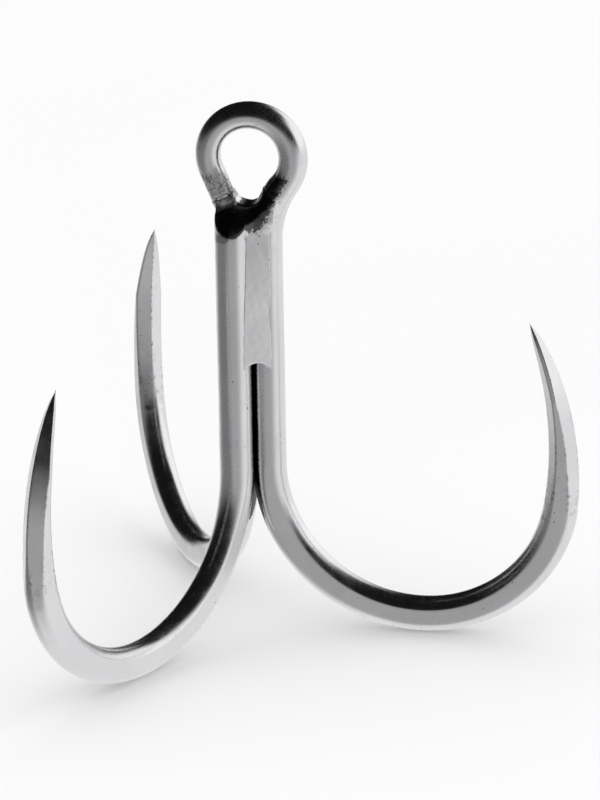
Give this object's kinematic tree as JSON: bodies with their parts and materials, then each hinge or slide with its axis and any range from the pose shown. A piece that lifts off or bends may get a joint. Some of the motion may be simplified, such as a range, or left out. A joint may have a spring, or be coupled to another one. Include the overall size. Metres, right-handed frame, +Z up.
{
  "type": "treble hook",
  "caption": "Barbless treble fishing hook: an eyed single hook and a hairpin-bent double hook of thick round wire, brazed together along their shanks.",
  "frame": {"origin": "centre of the eye's hole, at the middle of its thickness", "axes": "+Z up along the shanks towards the eye's top, +X towards the hook that carries the eye, Y along the eye's hole"},
  "size_m": [0.057, 0.0652, 0.0622],
  "materials": {
    "hook_steel": "satin bright plating over forged and ground high-carbon steel wire",
    "braze": "brazing metal under the same satin plating, smooth on the webs and rough at the eye"
  },
  "bodies": {
    "root": {"ringed_hook": "hook_steel", "double_hook": "hook_steel", "braze_front_web": "braze", "braze_rear_web": "braze", "braze_side_web": "braze", "braze_core": "braze", "braze_throat": "braze", "braze_eye_end": "braze"}
  },
  "joints": []
}
